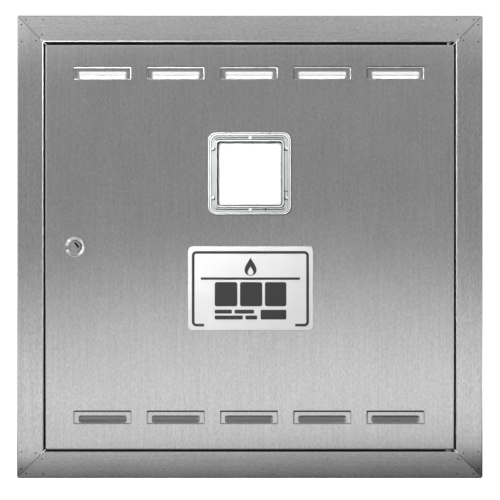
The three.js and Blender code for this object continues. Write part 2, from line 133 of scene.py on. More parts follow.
def bridge(bm, first, second, closed=True):
    """Quads between two rows of vertices of the same length."""
    faces = []
    count = len(first)
    for i in range(count if closed else count - 1):
        j = (i + 1) % count
        corners = [first[i], first[j], second[j], second[i]]
        kept = [v for n, v in enumerate(corners) if v not in corners[:n]]
        if len(kept) > 2:
            faces.append(bm.faces.new(kept))
    return faces


def give(faces, index):
    """The material that faces take, as its place in their piece's list."""
    for face in faces:
        face.material_index = index


def fill_flat(bm, loops, normal=(0, -1, 0)):
    """A flat face inside the first loop of vertices, with the other loops as holes."""
    edges = []
    for loop in loops:
        for a, b in zip(loop, loop[1:] + loop[:1]):
            edges.append(bm.edges.get((a, b)) or bm.edges.new((a, b)))
    bmesh.ops.triangle_fill(bm, use_beauty=True, use_dissolve=False, edges=edges, normal=normal)


def finish_mesh(name, bm, material, body, replaces, slot, sharp=35, second=None, is_second=None):
    """The mesh as a piece that rides on a body and stands for its CAD nodes. Faces square to an
    axis are shaded flat. A second material goes on the faces that is_second picks."""
    bmesh.ops.recalc_face_normals(bm, faces=bm.faces)
    limit = math.radians(sharp)
    for edge in bm.edges:
        edge.smooth = False
        if edge.is_manifold:
            level = [max(abs(c) for c in face.normal) > 0.9999 for face in edge.link_faces]
            angle = edge.calc_face_angle()
            edge.smooth = angle < limit and (level[0] == level[1] or angle < 0.001)
    mesh = bpy.data.meshes.new(name)
    bm.to_mesh(mesh)
    bm.free()
    mesh.materials.append(material)
    if second:
        mesh.materials.append(second)
    for polygon in mesh.polygons:
        polygon.use_smooth = True
        if second and is_second(polygon):
            polygon.material_index = 1
    piece = bpy.data.objects.new(name, mesh)
    bpy.context.scene.collection.objects.link(piece)
    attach(piece, body)
    if replaces:
        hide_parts(*replaces)
    return piece


def add_bevel(piece, width, segments=2, angle=30):
    """Rounds a piece's sharp edges, ahead of its other modifiers."""
    modifier = piece.modifiers.new("soft_edges", "BEVEL")
    modifier.width = width
    modifier.segments = segments
    modifier.limit_method = "ANGLE"
    modifier.angle_limit = math.radians(angle)
    modifier.harden_normals = False
    piece.modifiers.move(len(piece.modifiers) - 1, 0)


def lathe(bm, profile, centre, axis="Y", count=64):
    """A turned body about an axis. The profile's points are (radius, height) in millimetres."""
    rows = []
    for radius, height in profile:
        if radius < 1e-6:
            row = [bm.verts.new(along_axis(centre, axis, 0, 0, height * MM))] * count
        else:
            row = []
            for i in range(count):
                angle = 2 * math.pi * i / count
                a, b = radius * MM * math.cos(angle), radius * MM * math.sin(angle)
                row.append(bm.verts.new(along_axis(centre, axis, a, b, height * MM)))
        rows.append(row)
    for first, second in zip(rows, rows[1:]):
        bridge(bm, first, second)
    if profile[0][0] > 1e-6:
        bridge(bm, rows[-1], rows[0])


def along_axis(centre, axis, a, b, height):
    spot = {"X": (height, a, b), "Y": (a, height, b), "Z": (a, b, height)}[axis]
    return Vector(centre) + Vector(spot)


def prism(bm, outline, low, high, place):
    """A closed prism: place(a, b, depth) gives the position of an outline point at a depth."""
    front = [bm.verts.new(place(a, b, low)) for a, b in outline]
    back = [bm.verts.new(place(a, b, high)) for a, b in outline]
    bridge(bm, front, back)
    bm.faces.new(front)
    bm.faces.new(back)


def grain_uv(piece, across):
    """UVs whose U runs across the brushing: U for X or Z, and V for the other two."""
    mesh = piece.data
    layer = mesh.uv_layers.new(name="grain")
    first, second = ("x", "z") if across == "x" else ("z", "x")
    for polygon in mesh.polygons:
        normal = polygon.normal
        for index in polygon.loop_indices:
            spot = mesh.vertices[mesh.loops[index].vertex_index].co
            u, v = getattr(spot, first), getattr(spot, second)
            if abs(getattr(normal, first)) > 0.7:
                u = spot.y
            if abs(getattr(normal, second)) > 0.7:
                v = spot.y
            layer.data[index].uv = (u, v)


# ---------------------------------------------------------------- materials

HAIR_SCALE, STREAK_SCALE, CLOUD_SCALE = 820, 420, 14  # the brushed sheet's three textures

def new_material(name, color, roughness, metallic=0.0):
    """A material with one shader, and that shader."""
    material = bpy.data.materials.new(name)
    material.use_nodes = True
    shader = material.node_tree.nodes["Principled BSDF"]
    shader.inputs["Base Color"].default_value = (*color, 1)
    shader.inputs["Roughness"].default_value = roughness
    shader.inputs["Metallic"].default_value = metallic
    return material, shader


def noise_of(tree, vector, scale, detail=3, roughness=0.55):
    """Noise from 0 to 1 at the places that vector gives."""
    node = tree.nodes.new("ShaderNodeTexNoise")
    node.inputs["Scale"].default_value = scale
    node.inputs["Detail"].default_value = detail
    node.inputs["Roughness"].default_value = roughness
    tree.links.new(vector, node.inputs["Vector"])
    return node.outputs["Fac"]


def stretched(tree, scale):
    """Places on the object, scaled along each axis. A scale under 1 draws a texture out."""
    coordinates = tree.nodes.new("ShaderNodeTexCoord")
    mapping = tree.nodes.new("ShaderNodeMapping")
    mapping.inputs["Scale"].default_value = scale
    tree.links.new(coordinates.outputs["Object"], mapping.inputs["Vector"])
    return mapping.outputs["Vector"]


def span(tree, value, low, high, start=0.3, end=0.7):
    """value between start and end, spread from low to high."""
    node = tree.nodes.new("ShaderNodeMapRange")
    node.inputs["From Min"].default_value = start
    node.inputs["From Max"].default_value = end
    node.inputs["To Min"].default_value = low
    node.inputs["To Max"].default_value = high
    tree.links.new(value, node.inputs["Value"])
    return node.outputs["Result"]


def blend(tree, kind, first, second):
    """The sum, product or other kind of mix of two values. The second may be a plain number."""
    node = tree.nodes.new("ShaderNodeMath")
    node.operation = kind
    tree.links.new(first, node.inputs[0])
    if isinstance(second, float):
        node.inputs[1].default_value = second
    else:
        tree.links.new(second, node.inputs[1])
    return node.outputs["Value"]


def tint(tree, value, dark, light):
    """A colour between dark and light, by a value from 0 to 1."""
    ramp = tree.nodes.new("ShaderNodeValToRGB")
    ramp.color_ramp.elements[0].color = (*dark, 1)
    ramp.color_ramp.elements[1].color = (*light, 1)
    tree.links.new(value, ramp.inputs["Fac"])
    return ramp.outputs["Color"]


def bump(tree, shader, height, strength, distance):
    node = tree.nodes.new("ShaderNodeBump")
    node.inputs["Strength"].default_value = strength
    node.inputs["Distance"].default_value = distance
    tree.links.new(height, node.inputs["Height"])
    tree.links.new(node.outputs["Normal"], shader.inputs["Normal"])


def brushed_steel(name, stretch, base=0.60, roughness=0.30, contrast=0.10, anisotropy=0.6):
    """Stainless sheet: short fine hairlines, a few long streaks and faint cloudy patches."""
    material, shader = new_material(name, (base,) * 3, roughness, 1.0)
    tree = material.node_tree
    longer = [s * s * 0.3 if s < 1 else 1 for s in stretch]
    hair = noise_of(tree, stretched(tree, stretch), HAIR_SCALE, 2, 0.6)
    streak = noise_of(tree, stretched(tree, longer), STREAK_SCALE, 2)
    cloud = noise_of(tree, stretched(tree, (1, 1, 1)), CLOUD_SCALE, 2)
    fine = blend(tree, "ADD", blend(tree, "MULTIPLY", hair, 0.75), blend(tree, "MULTIPLY", streak, 0.25))
    shade = blend(tree, "ADD", blend(tree, "MULTIPLY", fine, 0.9), blend(tree, "MULTIPLY", cloud, 0.1))
    dark, light = base * (1 - contrast), base * (1 + contrast)
    colors = tint(tree, span(tree, shade, 0, 1, 0.3, 0.7), (dark,) * 3, (light,) * 3)
    tree.links.new(colors, shader.inputs["Base Color"])
    tree.links.new(span(tree, cloud, roughness - 0.01, roughness + 0.01), shader.inputs["Roughness"])
    shader.inputs["Anisotropic"].default_value = anisotropy
    tangent = tree.nodes.new("ShaderNodeTangent")
    tangent.direction_type = "UV_MAP"
    tangent.uv_map = "grain"
    tree.links.new(tangent.outputs["Tangent"], shader.inputs["Tangent"])
    bump(tree, shader, hair, 0.1, 0.00001)
    return material


def plain_metal(name, color, roughness, patch=120, depth=0.00001):
    """Plated or turned metal with faint clouding and pits."""
    material, shader = new_material(name, color, roughness, 1.0)
    tree = material.node_tree
    cloud = noise_of(tree, stretched(tree, (1, 1, 1)), patch, 3)
    pits = noise_of(tree, stretched(tree, (1, 1, 1)), patch * 12, 2)
    dark, light = [c * 0.86 for c in color], [min(1, c * 1.1) for c in color]
    colors = tint(tree, span(tree, cloud, 0, 1), dark, light)
    tree.links.new(colors, shader.inputs["Base Color"])
    tree.links.new(span(tree, cloud, roughness * 0.8, roughness * 1.25), shader.inputs["Roughness"])
    bump(tree, shader, pits, 0.15, depth)
    return material


def plain_plastic(name, color, roughness, speck=900, bump_depth=0.00003):
    """Moulded plastic, rubber or ink with faint clouding and a fine speckle in its gloss."""
    material, shader = new_material(name, color, roughness)
    tree = material.node_tree
    cloud = noise_of(tree, stretched(tree, (1, 1, 1)), 60, 2)
    speckle = noise_of(tree, stretched(tree, (1, 1, 1)), speck, 2)
    dark, light = [c * 0.95 for c in color], [min(1, c * 1.03) for c in color]
    colors = tint(tree, span(tree, cloud, 0, 1), dark, light)
    tree.links.new(colors, shader.inputs["Base Color"])
    tree.links.new(span(tree, speckle, roughness * 0.9, roughness * 1.15), shader.inputs["Roughness"])
    bump(tree, shader, speckle, 0.2, bump_depth)
    return material


def clear_plastic(name, alpha, transmission, roughness):
    """Moulded clear plastic with faint flow marks in its gloss."""
    material, shader = new_material(name, (0.96, 0.97, 0.97), roughness)
    tree = material.node_tree
    flow = noise_of(tree, stretched(tree, (1, 1, 0.3)), 150, 3)
    tree.links.new(span(tree, flow, roughness * 0.6, roughness * 1.6), shader.inputs["Roughness"])
    bump(tree, shader, flow, 0.15, 0.0001)
    shader.inputs["Transmission Weight"].default_value = transmission
    shader.inputs["IOR"].default_value = 1.49
    shader.inputs["Alpha"].default_value = alpha
    return material


STEEL_DOOR = brushed_steel("steel_brushed_door", (1, 1, 0.3), contrast=0.21)
STEEL_UPRIGHT = brushed_steel("steel_brushed_upright", (1, 1, 0.25), contrast=0.26)
STEEL_LEVEL = brushed_steel("steel_brushed_level", (0.25, 1, 1), contrast=0.22)
# rougher mill-finish steel without grain direction, and also much darker than the face as painted shade in
# the gap round the door; on the members' inner walls and stops and on the gussets
STEEL_INNER_SHADED = brushed_steel("steel_mill_inner_painted_shade", (1, 1, 0.3), 0.20, 0.62, 0.2, 0.0)
# painted highlight: a much lighter, plain copy of the steel on the louvres' hoods, so the slots read bright
HOOD_BRIGHTENED_STEEL = brushed_steel("steel_hood_painted_highlight", (1, 1, 0.5), 0.92, 0.28, 0.05, 0.0)
# painted shade: near-black steel on the creases round the louvres and inside the keyway, where shade falls
CREASE_SHADE_STEEL = plain_metal("steel_painted_crease_shade", (0.07, 0.07, 0.07), 0.5)
PLATED = plain_metal("zinc_plated", (0.52, 0.54, 0.57), 0.42)
BRIGHT = plain_metal("bright_steel", (0.55, 0.55, 0.55), 0.28, 200)
CHROME = plain_metal("chrome_plate", (0.72, 0.72, 0.72), 0.12, 90, 0.000004)
RUBBER = plain_plastic("black_rubber", (0.02, 0.02, 0.02), 0.75, 1600, 0.00008)
NYLON = plain_plastic("natural_nylon", (0.72, 0.69, 0.62), 0.5)
RING_WHITE = plain_plastic("ring_plastic", (0.74, 0.75, 0.74), 0.35)
# one rim plastic in three tones: a lighter copy on the beads as painted highlight, a darker copy on the
# land, and near-black on the steps as painted shade
RIM_CLEAR = plain_plastic("rim_plastic", (0.70, 0.71, 0.71), 0.12, 300, 0.00005)
RIM_LAND_DARKER = plain_plastic("rim_plastic_land_darker", (0.45, 0.46, 0.46), 0.15, 300, 0.00005)
# painted shade: near-black plastic on the rim's steep steps, on its seam marks and on half of each rivet's
# ring, standing in for dark refraction lines and shade
RIM_DARK_LINE = plain_plastic("rim_plastic_painted_dark_lines", (0.05, 0.052, 0.055), 0.35, 300, 0.00005)
RIM_DARK_LINE.node_tree.nodes["Principled BSDF"].inputs["Specular IOR Level"].default_value = 0.15
LABEL_EDGE = plain_plastic("label_cut_edge", (0.36, 0.42, 0.48), 0.3)
# painted highlight: a brighter, part-metal copy of the steel on the frame's inner folds and on recess walls
# of the upper louvres, standing in for bright reflected lines
STEEL_EDGE_HIGHLIGHT = plain_metal("steel_painted_edge_highlight", (0.68, 0.68, 0.68), 0.45)
STEEL_EDGE_HIGHLIGHT.node_tree.nodes["Principled BSDF"].inputs["Metallic"].default_value = 0.4
# painted shade: near-black metal in the small weld dents
DENT_SHADE = plain_metal("weld_dent_painted_shade", (0.05, 0.05, 0.055), 0.5)
WELD = plain_metal("weld_bright", (0.85, 0.85, 0.85), 0.45, 400, 0.0001)
PANE_CLEAR = clear_plastic("pane_clear", 0.10, 0.0, 0.04)


# ---------------------------------------------------------------- frame

BEND = 1.4  # the members' bend radius at the middle of the sheet, in millimetres
WELD_DENTS = [(6, 12), (6, 34), (24.8, 32.5)]  # from the outer edge, and along from the corner
DENT_AREA = 4e-6  # a dent's faces are all smaller than this, in square metres
DENT, FOLD_HIGHLIGHT = 2, 3  # a member's materials, after the sheet's own and the inner one


def member(name, half, place, material, across):
    """A mitred member. place(d, y, along) puts a point that is d in from the outer edge."""
    t = SHEET / MM
    face, stop = FACE_Y / MM, STOP_BACK / MM
    middle = [
        (t / 2, 0),
        (t / 2, face + t / 2),
        (FLANGE / MM - t / 2, face + t / 2),
        (FLANGE / MM - t / 2, stop - t / 2),
        ((FLANGE + STOP) / MM, stop - t / 2),
    ]
    outline = [p * MM for p in folded(middle, BEND, t)]
    bm = bmesh.new()

    def end_row(way):
        return [bm.verts.new(place(d, y, way * (half - d - MITRE_GAP))) for d, y in outline]

    low, high = end_row(-1), end_row(1)
    front = max(
        range(len(outline) - 1),
        key=lambda i: abs(outline[i + 1].x - outline[i].x) if outline[i].y < FACE_Y + SHEET / 2 else 0,
    )
    count = len(outline)
    for i in range(count):
        j = (i + 1) % count
        if i != front:
            bm.faces.new([low[i], low[j], high[j], high[i]])
    bm.faces.new(low)
    bm.faces.new(high)
    dents = []
    for way in (-1, 1):
        for d, along in WELD_DENTS:
            dents.append(weld_dent(bm, place, d * MM, way * (half - along * MM)))
    fill_flat(bm, [[low[front], low[front + 1], high[front + 1], high[front]], *dents])
    # faces behind the front face take the darker mill steel: painted shade in the gap
    materials = {"second": STEEL_INNER_SHADED, "is_second": lambda p: p.center.y > FACE_Y + 2.5 * MM}
    piece = finish_mesh(name + "_sheet", bm, material, "frame", [name], "frame_steel", **materials)
    for extra in (DENT_SHADE, STEEL_EDGE_HIGHLIGHT):
        piece.data.materials.append(extra)
    inner = (HALF_W if across == "x" else HALF_H) - FLANGE + 2 * MM
    for polygon in piece.data.polygons:
        if not FACE_Y + 0.02 * MM < polygon.center.y < FACE_Y + SHEET:
            continue
        # faces of a weld dent take the near-black painted shade
        in_dent = polygon.area < DENT_AREA
        # on_fold picks the faces of the inner fold, which take the painted highlight
        on_fold = abs(getattr(polygon.center, across)) < inner and 0.5 < -polygon.normal.y < 0.97
        if in_dent:
            polygon.material_index = DENT
        elif on_fold and name != "frame_bottom":
            polygon.material_index = FOLD_HIGHLIGHT
    grain_uv(piece, across)
    add_bevel(piece, 0.3 * MM, 2, 60)


def weld_dent(bm, place, d, along):
    """A spot weld's small dent in the front face. Returns the loop round it."""
    rings = []
    for radius, depth in [(0.95, 0), (0.75, 0.3), (0.35, 0.45)]:
        spots = circle(radius * MM, 12, d, along)
        rings.append([bm.verts.new(place(a, FACE_Y + depth * MM, b)) for a, b in spots])
    bridge(bm, rings[0], rings[1])
    bridge(bm, rings[1], rings[2])
    bm.faces.new(rings[2])
    return rings[0]


def make_frame():
    member("frame_left", HALF_H, lambda d, y, s: (-HALF_W + d, y, s), STEEL_UPRIGHT, "x")
    member("frame_right", HALF_H, lambda d, y, s: (HALF_W - d, y, s), STEEL_UPRIGHT, "x")
    member("frame_top", HALF_W, lambda d, y, s: (s, y, HALF_H - d), STEEL_LEVEL, "z")
    member("frame_bottom", HALF_W, lambda d, y, s: (s, y, -HALF_H + d), STEEL_LEVEL, "z")
    for side, x in (("left", -1), ("right", 1)):
        for level, z in (("bottom", -1), ("top", 1)):
            weld_bead(f"weld_bead_{level}_{side}", x, z)
            gusset(f"gusset_{level}_{side}", x, z)


def weld_bead(name, x, z):
    """The ground-back weld at the inner end of a mitre: a low uneven hump along it."""
    bm = bmesh.new()
    bmesh.ops.create_uvsphere(bm, u_segments=24, v_segments=14, radius=1)
    slant = Vector((-x, 0, -z)).normalized()
    side = Vector((x, 0, -z)).normalized()
    half_length, half_width, height, setback = 2.6 * MM, 1.3 * MM, 0.32 * MM, 3.4 * MM
    centre = Vector((x * (HALF_W - FLANGE), FACE_Y, z * (HALF_H - FLANGE))) - slant * setback
    for vertex in bm.verts:
        a, b, c = vertex.co
        rough = 1 + 0.25 * noise.noise(Vector((a, b, c)) * 2.2 + centre * 40)
        spot = slant * a * half_length + side * b * half_width * rough
        vertex.co = centre + spot + Vector((0, height * c * rough, 0))
    finish_mesh(name, bm, WELD, "frame", None, "frame_steel", 60)


def gusset(name, x, z):
    """An L plate behind a mitre."""
    low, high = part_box(name)
    arm = 36.5 * MM
    notch = 31.5 * MM
    corner_x = high[0] if x > 0 else low[0]
    corner_z = high[2] if z > 0 else low[2]
    outline = [(0, 0), (arm, 0), (arm, notch), (notch, notch), (notch, arm), (0, arm)]
    bm = bmesh.new()
    prism(bm, outline, low[1], high[1], lambda a, b, y: (corner_x - x * a, y, corner_z - z * b))
    piece = finish_mesh(name + "_plate", bm, STEEL_INNER_SHADED, "frame", [name], "frame_steel")
    add_bevel(piece, 0.3 * MM)
    grain_uv(piece, "x")


# ---------------------------------------------------------------- door sheet

# Louvre sizes are in millimetres
LOUVRES = 5
LOUVRE_PITCH = 94.3
# Each row's height, the width of its recesses' top walls, and its slots' height
LOUVRE_ROWS = [(223.9, 3.9, 9.0), (-219.5, 2.2, 9.6)]
ROW_X = -1
RECESS_W, RECESS_H, RECESS_D = 74.5, 17.5, 1.3
WALL_SIDE, WALL_BOTTOM = 1.9, 1.3  # widths of the recess's sloped walls
SLOT_HALF = 31.0
SLOT_BOTTOM = WALL_BOTTOM + 0.1 - RECESS_H / 2
SLOT_END = 2.6  # length over which a hood's ends reach its full depth
HOOD_D = 6.4
# material 3 is the painted-highlight copy of the steel, put on some recess walls of the upper louvres
HOOD, SHADED_CREASE, SLOPE_HIGHLIGHT = 1, 2, 3  # the door's materials, after the sheet's own
WINDOW_HOLE, LOCK_HOLE = 86, 19.6  # side and diameter


def slot_edges(x, slot_height):
    """The height of a slot's upper and lower edge at x."""

    def drop(radius):
        over = abs(x) - (SLOT_HALF - radius)
        return radius - math.sqrt(max(0.0, radius**2 - over**2)) if over > 0 else 0.0

    return SLOT_BOTTOM + slot_height - drop(2.6), SLOT_BOTTOM + drop(3.0)


def slot_columns():
    """Places along a slot, close together at its ends."""
    ends = [SLOT_HALF - SLOT_END * 1.5 * (1 - math.cos(math.pi / 2 * i / 10)) for i in range(11)]
    return [-x for x in ends] + [0.0] + ends[::-1]


def louvre(bm, cx, cz, wall_top, slot_height):
    """Presses one louvre into the sheet, in millimetres about its recess. Returns its outer loop."""

    def vert(x, z, depth):
        return bm.verts.new(((cx + x) * MM, FACE_Y + depth * MM, (cz + z) * MM))

    loops = []
    for part, depth in [(0, 0), (0.28, 0.2), (0.74, 0.8), (1, 1)]:
        width = RECESS_W - 2 * WALL_SIDE * part
        height = RECESS_H - (wall_top + WALL_BOTTOM) * part
        rise = (WALL_BOTTOM - wall_top) / 2 * part
        outline = rounded_rect(width, height, 1.0, 4)
        loops.append([vert(x, z + rise, RECESS_D * depth) for x, z in outline])
    outer, slope, inner = (bridge(bm, first, second) for first, second in zip(loops, loops[1:]))
    # the recess's outer crease, and the upper row's inner crease, take near-black steel as painted shade
    give(outer, SHADED_CREASE)
    if cz > 0:
        give(inner, SHADED_CREASE)
        # the upper row's recess walls at the right end, along the top and along the bottom take the painted
        # highlight
        lit = Vector(((cx + RECESS_W / 2 - 2.5) * MM, 0, (cz + RECESS_H / 2 - 4) * MM))
        low_end = (cz - RECESS_H / 2 + 1.5) * MM
        for face in slope:
            spot = face.calc_center_median()
            if spot.x > lit.x or spot.z > lit.z or spot.z < low_end:
                face.material_index = SLOPE_HIGHLIGHT

    rows = 6
    places = slot_columns()
    grid = []
    for x in places:
        top, bottom = slot_edges(x, slot_height)
        swell = math.sin(math.pi / 2 * min(1.0, (SLOT_HALF - abs(x)) / SLOT_END)) ** 0.8
        lip = bottom - 0.9 * swell
        shares = [j / rows for j in range(rows + 1)]
        grid.append([vert(x, top + (lip - top) * part, RECESS_D + HOOD_D * swell * part) for part in shares])
    for first, second in zip(grid, grid[1:]):
        # hood faces take the lighter copy of the steel as painted highlight
        give(bridge(bm, first, second, closed=False), HOOD)
    cut_edge = [vert(x, slot_edges(x, slot_height)[1], RECESS_D) for x in places[-2:0:-1]]
    slot = [column[0] for column in grid]
    slot += grid[-1][1:] + cut_edge + grid[0][:0:-1]
    fill_flat(bm, [loops[-1], slot])
    return loops[0]


def fold_profile():
    """(in from the edge, depth) along one folded edge, from the face to the return's end."""
    depth = (DOOR_HIGH.y - DOOR_LOW.y) / MM
    radius = FOLD / MM
    rear = 1.6
    points = []
    for step in range(7):
        angle = math.pi / 2 * step / 6
        points.append((radius * (1 - math.sin(angle)), radius * (1 - math.cos(angle))))
    points.append((0, radius + 1.3))
    points.append((0, depth - rear))
    for step in range(1, 6):
        angle = math.pi / 2 * step / 5
        points.append((rear * (1 - math.cos(angle)), depth - rear * (1 - math.sin(angle))))
    points.append((RETURN / MM, depth))
    return points


def fold_edge(bm, corners, place, half, butt):
    """One folded edge. place(d, y, along) puts a point d in from the edge. The first row shares
    the face's two corners, and a small notch is left where two folds meet."""
    rows = [corners]
    for index, (d, depth) in enumerate(fold_profile()[1:], 1):
        if index < 7:  # on the face's own fold
            short = FOLD / MM
        elif d < 1e-6:
            short = butt
        else:
            short = max(butt, d + 0.2)
        reach = half - short * MM
        y = FACE_Y + depth * MM
        rows.append([bm.verts.new(place(d * MM, y, -reach)), bm.verts.new(place(d * MM, y, reach))])
    for first, second in zip(rows, rows[1:]):
        bm.faces.new([first[0], first[1], second[1], second[0]])


def make_door_sheet():
    """The door's face with its louvres and holes, and its four folded edges, given thickness."""
    bm = bmesh.new()
    low_x, high_x, low_z, high_z = DOOR_LOW.x, DOOR_HIGH.x, DOOR_LOW.z, DOOR_HIGH.z
    mid_z = (low_z + high_z) / 2
    half_x, half_z = (high_x - low_x) / 2, (high_z - low_z) / 2
    rectangle = [
        bm.verts.new((x, FACE_Y, z))
        for x, z in [
            (low_x + FOLD, low_z + FOLD),
            (high_x - FOLD, low_z + FOLD),
            (high_x - FOLD, high_z - FOLD),
            (low_x + FOLD, high_z - FOLD),
        ]
    ]
    a, b, c, d = rectangle
    fold_edge(bm, [a, b], lambda i, y, s: (s, y, low_z + i), half_x, 1.4)
    fold_edge(bm, [b, c], lambda i, y, s: (high_x - i, y, mid_z + s), half_z, 0.05)
    fold_edge(bm, [d, c], lambda i, y, s: (s, y, high_z - i), half_x, 1.4)
    fold_edge(bm, [a, d], lambda i, y, s: (low_x + i, y, mid_z + s), half_z, 0.05)
    holes = []
    for z, wall_top, slot_height in LOUVRE_ROWS:
        for column in range(LOUVRES):
            x = ROW_X + (column - (LOUVRES - 1) / 2) * LOUVRE_PITCH
            holes.append(louvre(bm, x, z, wall_top, slot_height))
    window = middle_of("window_bezel")
    lock = middle_of("lock_housing")
    side = WINDOW_HOLE * MM
    cut_out = [(x + window.x, z + window.z) for x, z in rounded_rect(side, side, 8 * MM)]
    for outline in (cut_out, circle(LOCK_HOLE / 2 * MM, 40, lock.x, lock.z)):
        holes.append([bm.verts.new((x, FACE_Y, z)) for x, z in outline])
    fill_flat(bm, [rectangle, *holes])
    piece = finish_mesh("door_sheet", bm, STEEL_DOOR, "door", ["door_panel"], "door_steel")
    facing = max(piece.data.polygons, key=lambda polygon: polygon.area).normal.y
    if facing > 0:
        piece.data.flip_normals()
    for shaded_and_lit in (HOOD_BRIGHTENED_STEEL, CREASE_SHADE_STEEL, STEEL_EDGE_HIGHLIGHT):
        piece.data.materials.append(shaded_and_lit)
    grain_uv(piece, "x")
    thicken = piece.modifiers.new("sheet", "SOLIDIFY")
    thicken.thickness = SHEET
    thicken.offset = -1
    thicken.use_even_offset = True


def middle_of(node):
    low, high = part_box(node)
    return (Vector(low) + Vector(high)) / 2


make_frame()
make_door_sheet()

# ---------------------------------------------------------------- window


# BEAD faces take the lighter rim plastic as painted highlight, LAND faces a darker copy, and STEP faces
# near-black as painted shade
BEAD, LAND, STEP = 0, 1, 2  # the rim's materials
# The rim's section: how far in from its outer edge and how high off the door, in millimetres,
# the material of the strip that follows, and the sides where a row takes its own height. On
# the other sides it lies level with the land.
RIM_W, RIM_H = 108, 107
RIM_LAND = 1.7
RIM_SECTION = [
    (0.0, 0.1, STEP, "LRTB"), (0.55, 1.5, BEAD, "LRTB"), (0.8, 2.3, BEAD, "LRTB"),
    (1.3, 2.8, BEAD, "LRTB"), (1.9, 2.7, BEAD, "LRTB"), (2.2, 2.3, STEP, "LRTB"),
    (2.7, 2.2, BEAD, "LRTB"), (3.0, 2.6, BEAD, "LRTB"), (4.4, 2.6, STEP, "LRTB"),
    (4.9, 1.7, LAND, "LRTB"),
    (6.9, 1.7, STEP, "TB"), (7.1, 0.7, STEP, "TB"), (7.8, 0.7, STEP, "TB"), (8.0, 1.7, LAND, "TB"),
    (9.2, 1.7, STEP, "RTB"), (9.4, 0.6, STEP, "RTB"), (10.1, 0.6, STEP, "RTB"), (10.3, 1.9, BEAD, "RTB"),
    (11.9, 1.9, STEP, "LRTB"), (12.1, 1.6, STEP, "LRTB"), (13.0, -0.6, STEP, "LRTB"),
    (13.4, -1.1, STEP, "LRTB"), (11.4, -1.1, LAND, "LRTB"), (11.4, 0.1, LAND, "LRTB"),
]


def rim_loop(bm, centre, inset, height, sides):
    """A loop round the window, inset from its outer edge, all in millimetres. A row that is not
    on every side rises or sinks from the land near the corners. Returns the loop and the sides."""
    corner = max(11.0 - 0.6 * inset, 2.2)
    outline = rounded_rect(RIM_W - 2 * inset, RIM_H - 2 * inset, corner, 10)
    loop, shares = [], []
    for x, z in outline:
        level = min(1.0, max(0.0, (abs(z) - abs(x)) / 4 + 0.5))
        upright = 1 - level
        share = level * (("T" if z > 0 else "B") in sides) + upright * (("R" if x > 0 else "L") in sides)
        rise = RIM_LAND + (height - RIM_LAND) * share
        loop.append(bm.verts.new(centre + Vector((x * MM, -rise * MM, z * MM))))
        shares.append(share)
    return loop, shares


